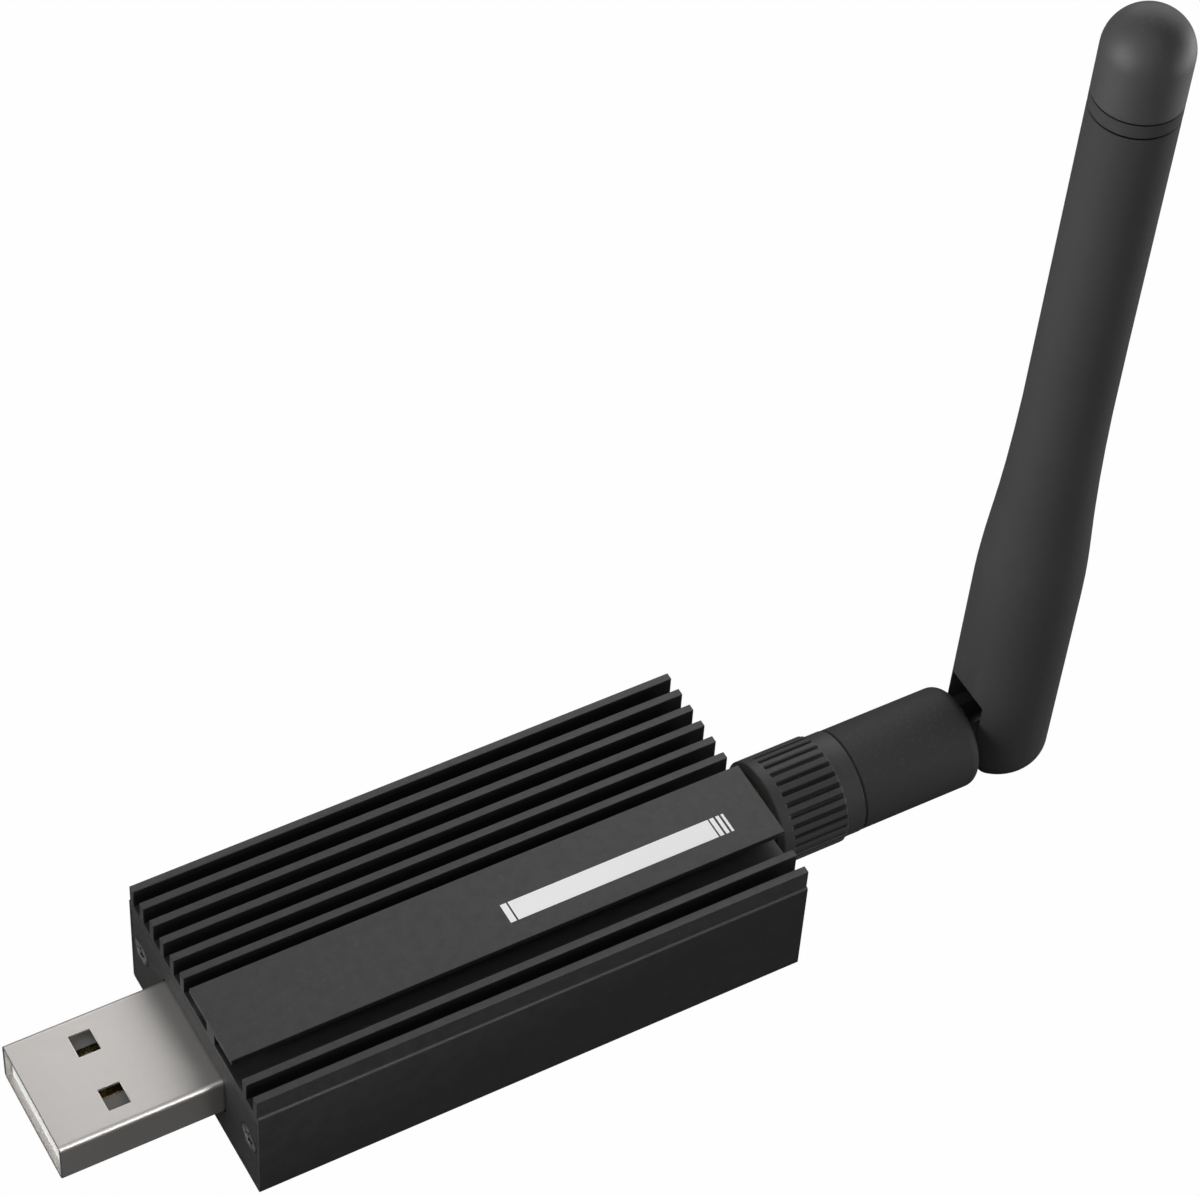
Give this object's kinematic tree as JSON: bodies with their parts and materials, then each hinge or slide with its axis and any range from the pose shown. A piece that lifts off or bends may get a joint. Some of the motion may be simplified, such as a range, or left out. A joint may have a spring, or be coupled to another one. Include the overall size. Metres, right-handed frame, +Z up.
{
  "type": "usb radio stick",
  "caption": "Finned aluminium USB radio stick with a screw-on aerial that swivels on its plug and folds at a hinge.",
  "frame": {"origin": "centre of the housing's flat underside", "axes": "+X from the USB plug towards the aerial, +Z up out of the cooling fins, +Y across the stick"},
  "size_m": [0.1029, 0.0254, 0.0898],
  "materials": {
    "black_anodised": "black anodised, fine satin",
    "black_steel": "black oxide",
    "plug_steel": "nickel plated, satin",
    "white_plastic": "moulded, matte",
    "gold_plate": "gold plated",
    "circuit_board": "black solder mask over glass laminate",
    "tin_plate": "tin plated",
    "chip_plastic": "moulded epoxy",
    "led_plastic": "clear moulded",
    "ceramic": "ceramic with tinned ends",
    "button_plastic": "moulded",
    "aerial_plastic": "soft matte moulding",
    "cable_jacket": "smooth jacket",
    "brass_tube": "drawn"
  },
  "bodies": {
    "stick": {"housing": "black_anodised", "usb_end_plate": "black_anodised", "antenna_end_plate": "black_anodised", "end_plate_screws": "black_steel", "usb_shell": "plug_steel", "usb_insulator": "white_plastic", "usb_contacts": "gold_plate", "main_board": "circuit_board", "radio_shield": "tin_plate", "radio_chip": "chip_plastic", "bridge_chip": "chip_plastic", "regulator": "chip_plastic", "crystals": "tin_plate", "status_leds": "led_plastic", "board_capacitors": "ceramic", "boot_switch_body": "chip_plastic", "reset_switch_body": "chip_plastic", "antenna_jack": "gold_plate", "jack_insulator": "white_plastic", "jack_pin": "gold_plate"},
    "retainer": {"retaining_ring": "black_steel"},
    "coupling_nut": {"nut_sleeve": "aerial_plastic", "nut_insert": "gold_plate"},
    "aerial_base": {"barrel": "aerial_plastic", "plug_ferrule": "gold_plate", "plug_insulator": "white_plastic", "plug_pin": "gold_plate", "coax_cable": "cable_jacket"},
    "aerial_blade": {"blade": "aerial_plastic", "blade_cap": "aerial_plastic", "sleeve_tube": "brass_tube", "radiator_whip": "brass_tube", "centring_spacer": "white_plastic"},
    "boot_button": {"boot_plunger": "button_plastic"},
    "reset_button": {"reset_plunger": "button_plastic"}
  },
  "joints": [
    {"name": "antenna_unscrew", "type": "slide", "parent": "stick", "child": "retainer", "axis": [1, 0, 0], "range_m": [0, 0.00494]},
    {"name": "nut_turn", "type": "hinge", "parent": "retainer", "child": "coupling_nut", "pos_m": [0.0334, 0, 0.00525], "axis": [1, 0, 0], "range_deg": [0, 2520]},
    {"name": "antenna_swivel", "type": "hinge", "parent": "retainer", "child": "aerial_base", "pos_m": [0.04, 0, 0.00525], "axis": [1, 0, 0], "continuous": true},
    {"name": "antenna_tilt", "type": "hinge", "parent": "aerial_base", "child": "aerial_blade", "pos_m": [0.0549, 0, 0.00525], "axis": [0, 1, 0], "range_deg": [-1.9, 88.1], "deforming": ["coax_cable"]},
    {"name": "boot_press", "type": "slide", "parent": "stick", "child": "boot_button", "axis": [0, 0, -1], "range_m": [0, 0.00025], "stiffness_N_per_m": 250, "springref_m": -0.0004},
    {"name": "reset_press", "type": "slide", "parent": "stick", "child": "reset_button", "axis": [0, 0, -1], "range_m": [0, 0.00025], "stiffness_N_per_m": 250, "springref_m": -0.0004}
  ],
  "couplings": [
    {"joint": "nut_turn", "follows": "antenna_unscrew", "rad_per_m": 8904.7}
  ]
}
